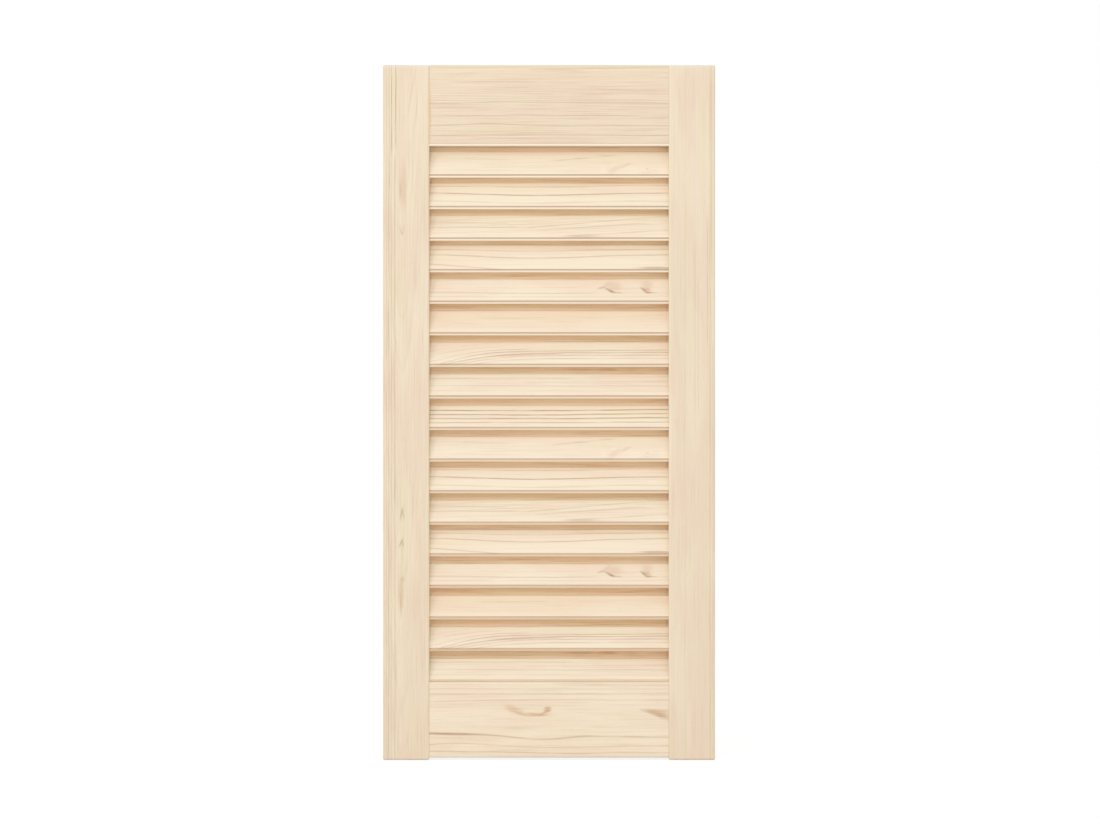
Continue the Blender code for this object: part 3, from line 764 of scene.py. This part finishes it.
# Nine louvre boards, used in turn from the top, and again from the tenth louvre down
LOUVRES = (
    (sawn(-60.0, -30.0, 3.4, 0.1, 0.4, wander=3.0), (
        patch(60.0, 80.0, 0.25, PALE_WOOD_AND_LIGHT), line(-1.6, 0.3, slope=0.1035, run=(2.0, 54.0)),
        stain(28.7, 1.1, 0.2, 7.0, 0.7), stain(52.0, 3.7, 0.22, 7.5, 0.6), stain(-60.0, 0.5, 0.15, 20.0, 0.8),
        stain(48.0, -9.6, 0.6, 2.6, 3.0, turn=30.0, tone=PALE_WOOD_AND_LIGHT),
        stain(57.0, -10.8, 0.25, 6.5, 3.0, turn=38.0, tone=TAN),
        stain(57.5, -5.4, 0.6, 3.2, 1.3, turn=30.0, tone=PALE_WOOD_AND_LIGHT),
        stain(67.0, -6.2, 0.22, 6.0, 1.4, turn=27.0, tone=TAN),
        stain(75.0, -10.4, 0.7, 9.0, 3.6, tone=PALE_WOOD_AND_LIGHT),
        stain(87.2, -9.1, 0.3, 1.4, 0.8, turn=30.0), stain(86.0, -13.4, 0.15, 6.0, 1.2, tone=RUST),
        stain(102.0, -10.0, 0.7, 5.0, 4.2, tone=PALE_WOOD_AND_LIGHT),
    )),
    (sawn(-80.0, -10.0, 3.3, 0.16, 1.9), (
        patch(0.0, 160.0, 0.3, PALE_WOOD_AND_LIGHT),
        line(4.0, 0.5, slope=-0.0107, dip=(2.8, 95.0, 60.0)),
        line(-1.8, 0.75, slope=-0.0022, dip=(-2.5, -15.0, 60.0)),
        line(-9.7, 0.45, slope=-0.0031, dip=(-2.4, -15.0, 60.0)),
    )),
    (sawn(-70.0, -15.0, 4.6, 0.25, 3.3, lean=(0.05, 0.0)), (
        line(-14.4, 0.5, slope=0.0647, run=(14.0, 400.0)), line(-3.2, 0.35, slope=0.0931, run=(-20.0, 400.0)),
        line(-7.0, 0.3, slope=0.08, run=(-10.0, 82.0)), line(-0.6, 0.3, slope=-0.007, run=(-400.0, -36.0)),
        line(-4.3, 0.3, slope=0.006, run=(-400.0, -28.0)), stain(29.6, -13.4, 0.5, 14.0, 1.2),
    )),
    (sawn(-60.0, -20.0, 3.5, 0.14, 4.8, wander=4.0), (
        patch(0.0, 160.0, 0.35, PALE_WOOD_AND_LIGHT),
        line(4.9, 0.35, dip=(-1.9, -15.0, 60.0)), line(-0.5, 0.52, slope=-0.0018, dip=(-3.6, -10.0, 60.0)),
        line(-18.5, 0.65, slope=-0.081, run=(-400.0, -44.0)), stain(60.0, 4.4, 0.3, 32.0, 1.0, tone=RUST),
        stain(95.0, -13.6, 0.8, 17.0, 1.1),
    )),
    (sawn(4.0, -34.0, 5.5, 0.15, 6.1), (
        line(-6.9, 0.45, slope=-0.0048, dip=(-0.8, -20.0, 50.0), run=(-400.0, 40.0)),
        line(-11.0, 0.3, slope=0.0047, dip=(1.0, -130.0, 80.0)),
        stain(57.0, -0.4, 0.26, 7.5, 4.8, turn=-8.0, tone=TAN),
        stain(46.5, -2.0, 0.32, 3.6, 1.0, turn=17.0), stain(52.0, 1.8, 0.2, 3.8, 1.0, turn=40.0, tone=TAN),
        stain(53.0, -4.2, 0.45, 4.6, 1.0, turn=-31.0), stain(55.8, -5.9, 0.6, 3.0, 1.2, turn=-20.0),
        stain(60.8, -6.9, 0.4, 4.5, 0.7, turn=-4.0),
        stain(86.8, 0.9, 0.24, 5.0, 4.4, turn=30.0, tone=TAN),
        stain(87.0, -4.6, 0.4, 3.6, 2.4, turn=-20.0, tone=TAN),
        stain(84.2, -4.4, 0.55, 4.0, 1.1, turn=-42.0), stain(88.0, -6.9, 0.45, 3.0, 0.9),
        stain(91.5, -6.9, 0.3, 4.5, 0.7),
    )),
    (sawn(2.0, -40.0, 6.0, 0.15, 7.7), (
        line(-0.6, 0.25, run=(-62.0, -2.0)), patch(0.0, 200.0, 0.22, HONEY),
    )),
    (sawn(-90.0, 10.0, 3.4, 0.14, 8.2, wander=1.0, sweep=(0.74, 20.0)), (
        line(-2.3, 0.65, slope=0.0087, dip=(-18.7, -130.0, 50.0), width=0.42),
        line(-4.3, 0.65, slope=0.0072, dip=(-15.2, -130.0, 60.0), width=0.42),
        line(-6.5, 0.6, slope=0.004, dip=(-12.1, -120.0, 60.0), width=0.42),
        line(-9.6, 0.55, slope=0.0018, dip=(-12.1, -120.0, 60.0), width=0.42),
        line(-0.4, 0.4, dip=(-16.0, -130.0, 50.0), run=(-400.0, -20.0), width=0.36),
        line(-5.4, 0.5, slope=0.006, dip=(-14.0, -125.0, 55.0), run=(-400.0, 10.0), width=0.36),
        line(2.0, 0.25, dip=(-13.0, -135.0, 50.0), run=(-400.0, -40.0), width=0.36),
    )),
    (sawn(-50.0, -30.0, 4.6, 0.18, 9.4), (
        line(-1.8, 0.3, slope=0.0078, run=(-20.0, 400.0)), line(3.7, 0.3, run=(35.0, 400.0)),
        line(1.6, 0.3, run=(-400.0, 20.0)), line(-5.5, 0.3), line(-10.4, 0.25),
        stain(29.0, 10.8, 0.5, 13.0, 1.5, tone=OLIVE), stain(31.0, 7.4, 0.4, 16.0, 0.9, tone=OLIVE),
        stain(51.7, 10.4, 0.75, 10.0, 1.5, tone=RUST), stain(72.0, 10.4, 0.3, 7.0, 1.8, tone=RUST),
    )),
    (sawn(-100.0, 0.0, 4.3, 0.06, 10.6, wander=0.9), (
        patch(50.0, 80.0, 0.4, PALE_WOOD_AND_LIGHT),
        line(2.1, 0.95, slope=0.0064, dip=(-0.9, 15.0, 100.0)),
        line(-3.0, 0.85, slope=0.0114, dip=(1.3, -90.0, 50.0)),
        line(-6.0, 1.0, slope=0.0055, dip=(-0.7, 10.0, 100.0)),
        line(-9.9, 0.9, slope=0.0062, dip=(-0.8, 50.0, 100.0)),
    )),
)


def board_axes(node):
    """Directions along the grain, across the face and out of the face of a board."""
    if node.endswith("stile"):
        return UP, RIGHT, OUT
    if node.endswith("rail"):
        return RIGHT, UP, OUT
    return RIGHT, LOUVRE_UP, LOUVRE_OUT


def close_rail_ends(shape):
    """Bring the ends of a rail up against the stiles."""
    for vertex in shape.verts:
        if abs(vertex.co.x) > OPENING_HALF - RAIL_END:
            vertex.co.x += math.copysign(JOINT_FILL, vertex.co.x)


def close_housings(shape, middle):
    """Thicken a louvre's ends inside the stiles, so that they fill their housings."""
    for side in (-1, 1):
        for reach in HOUSING_CUTS:
            bmesh.ops.bisect_plane(
                shape, geom=shape.verts[:] + shape.edges[:] + shape.faces[:], dist=CUT_TOLERANCE,
                plane_co=(side * (OPENING_HALF + reach), 0, 0), plane_no=(side, 0, 0),
            )
    for vertex in shape.verts:
        if abs(vertex.co.x) > OPENING_HALF + HOUSING_START:
            away = vertex.co - middle
            away.x = 0.0
            level = max(-HALF_CORE, min(HALF_CORE, away.dot(LOUVRE_UP)))
            vertex.co += (away - level * LOUVRE_UP).normalized() * JOINT_FILL


def copy_solid(node, middle):
    """A mesh of a board's solid, with its joints closed."""
    shape = bmesh.new()
    shape.from_mesh(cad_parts[node].data)
    bmesh.ops.remove_doubles(shape, verts=shape.verts, dist=MERGE_DISTANCE)
    if node.endswith("rail"):
        close_rail_ends(shape)
    if node in LOUVRE_NAMES:
        close_housings(shape, middle)
    mesh = bpy.data.meshes.new(f"{node}_board")
    shape.to_mesh(mesh)
    shape.free()
    return mesh


def write_value(mesh, name, value):
    """Write one value all over a board."""
    own = mesh.attributes.new(name, "FLOAT", "POINT")
    for place in own.data:
        place.value = value


def write_louvre(mesh, node, middle):
    """Write on a louvre where its painted shade strip starts and how far its painted bead highlight fades."""
    start = SHADE_STRIP_LEVELS[LOUVRE_NAMES.index(node) % len(SHADE_STRIP_LEVELS)] * MM
    height = middle.z - (cad_low.z + cad_high.z) / 2
    write_value(mesh, "shade_strip_level", start + SHADE_STRIP_RISE * height)
    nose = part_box(node)[0].z
    write_value(mesh, "highlight_fade", (HIGHEST_NOSE - nose) / (HIGHEST_NOSE - LOWEST_NOSE))


def finish_board(node, material):
    """A smooth copy of a board's solid, with its places in the board written on it."""
    low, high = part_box(node)
    middle = (low + high) / 2
    axes = board_axes(node)
    mesh = copy_solid(node, middle)
    places = mesh.attributes.new("board", "FLOAT_VECTOR", "POINT")
    for vertex, place in zip(mesh.vertices, places.data):
        away = vertex.co - middle
        place.vector = [away.dot(axis) for axis in axes]
    if node in LOUVRE_NAMES:
        write_louvre(mesh, node, middle)
    mesh.materials.clear()
    mesh.materials.append(material)
    mesh.shade_smooth()
    mesh.set_sharp_from_angle(angle=CRISP_ANGLE)
    board = bpy.data.objects.new(mesh.name, mesh)
    bpy.context.scene.collection.objects.link(board)
    even = board.modifiers.new("even_shading", "WEIGHTED_NORMAL")
    even.keep_sharp = True
    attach(board, "root")
    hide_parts(node)


def make_beech():
    """Plain straight-grained beech for the dowels."""
    material, tree = new_material("beech")
    place = tree.add("ShaderNodeTexCoord").outputs["Object"]
    flecks = tree.noise(place, BEECH_SCALE)["Fac"]
    shader = material.node_tree.nodes["Principled BSDF"]
    tree.feed(shader.inputs["Base Color"], tree.mix(tree.step(flecks, *BEECH_STEP), BEECH, BEECH_FLECK))
    tree.feed(shader.inputs["Roughness"], tree.spread(flecks, *BEECH_ROUGHNESS))
    return material


def make_white():
    """White for the floor: lit by the lamps, nearly pure white to the camera, with the shadow left in it."""
    material, tree = new_material("floor_white")
    seen = tree.seen()
    white = tree.spread(seen, FLOOR_WHITE, FLOOR_WHITE * FLOOR_SHADE)
    matt = tree.add("ShaderNodeBsdfDiffuse", {"Color": tree.join(white, white, white)})
    glow = tree.add("ShaderNodeEmission", {"Strength": tree.times(seen, FLOOR_GLOW)})
    both = tree.add("ShaderNodeAddShader")
    tree.feed(both.inputs[0], matt.outputs[0])
    tree.feed(both.inputs[1], glow.outputs[0])
    output = material.node_tree.nodes["Material Output"]
    tree.feed(output.inputs["Surface"], both.outputs[0])
    return material


def make_floor():
    """A wide plain floor under the stile ends."""
    shape = bmesh.new()
    bmesh.ops.create_grid(shape, x_segments=1, y_segments=1, size=FLOOR_REACH)
    mesh = bpy.data.meshes.new("floor")
    shape.to_mesh(mesh)
    shape.free()
    mesh.materials.append(make_white())
    floor = bpy.data.objects.new("floor", mesh)
    bpy.context.scene.collection.objects.link(floor)


def make_surroundings():
    """White all round, dimmer as light than it looks to the camera."""
    world = bpy.data.worlds.new("studio")
    world.use_nodes = True
    tree = Tree(world.node_tree)
    back = world.node_tree.nodes["Background"]
    back.inputs["Color"].default_value = (1.0, 1.0, 1.0, 1.0)
    tree.feed(back.inputs["Strength"], tree.spread(tree.seen(), AROUND_AS_LIGHT, AROUND_AS_SEEN))
    bpy.context.scene.world = world


def make_lamp(name, place, width, power):
    """A square soft lamp aimed at the middle of the door."""
    data = bpy.data.lights.new(name, "AREA")
    data.size = width
    data.energy = power
    lamp = bpy.data.objects.new(name, data)
    lamp.location = place
    lamp.rotation_euler = (Vector(LAMP_AIM) - Vector(place)).to_track_quat("-Z", "Y").to_euler()
    bpy.context.scene.collection.objects.link(lamp)


def make_camera():
    """The photograph's viewpoint: square on, level with the door's middle."""
    data = bpy.data.cameras.new("camera")
    data.lens = data.sensor_width * CAMERA_DISTANCE / PICTURE_WIDTH
    data.clip_end = CAMERA_REACH
    camera = bpy.data.objects.new("camera", data)
    middle = (cad_low + cad_high) / 2
    camera.location = (CAMERA_ASIDE, cad_low.y - CAMERA_DISTANCE, middle.z + CAMERA_ABOVE)
    camera.rotation_euler = (math.pi / 2, 0.0, 0.0)
    bpy.context.scene.collection.objects.link(camera)
    bpy.context.scene.camera = camera


left_pine = make_pine("left_stile_pine", FRAME_TONES, LEFT_STILE, LEFT_STILE_FEATURES, mark_stile)
finish_board("left_stile", left_pine)
right_pine = make_pine("right_stile_pine", FRAME_TONES, RIGHT_STILE, RIGHT_STILE_FEATURES, mark_stile)
finish_board("right_stile", right_pine)
top_pine = make_pine("top_rail_pine", TOP_RAIL_TONES, TOP_RAIL, TOP_RAIL_FEATURES, mark_top_rail)
finish_board("top_rail", top_pine)
bottom_pine = make_pine(
    "bottom_rail_pine", BOTTOM_RAIL_TONES, BOTTOM_RAIL, BOTTOM_RAIL_FEATURES, mark_bottom_rail,
)
finish_board("bottom_rail", bottom_pine)

louvre_pines = [
    make_pine(f"louvre_pine_{number}", LOUVRE_TONES, grain, features, mark_nose)
    for number, (grain, features) in enumerate(LOUVRES, start=1)
]
for number, name in enumerate(LOUVRE_NAMES[:-1]):
    finish_board(name, louvre_pines[number % len(louvre_pines)])
lowest_grain, lowest_features = LOUVRES[(len(LOUVRE_NAMES) - 1) % len(LOUVRES)]
lowest_pine = make_pine("lowest_louvre_pine", LOUVRE_TONES, lowest_grain, lowest_features, mark_lowest_nose)
finish_board(LOUVRE_NAMES[-1], lowest_pine)

beech = make_beech()
for name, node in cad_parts.items():
    if name.startswith("dowel_"):
        node.data.materials.clear()
        node.data.materials.append(beech)

make_floor()
make_surroundings()
for name, (place, width, power) in LAMPS.items():
    make_lamp(name, place, width, power)
make_camera()
bpy.context.scene.view_settings.view_transform = "Standard"
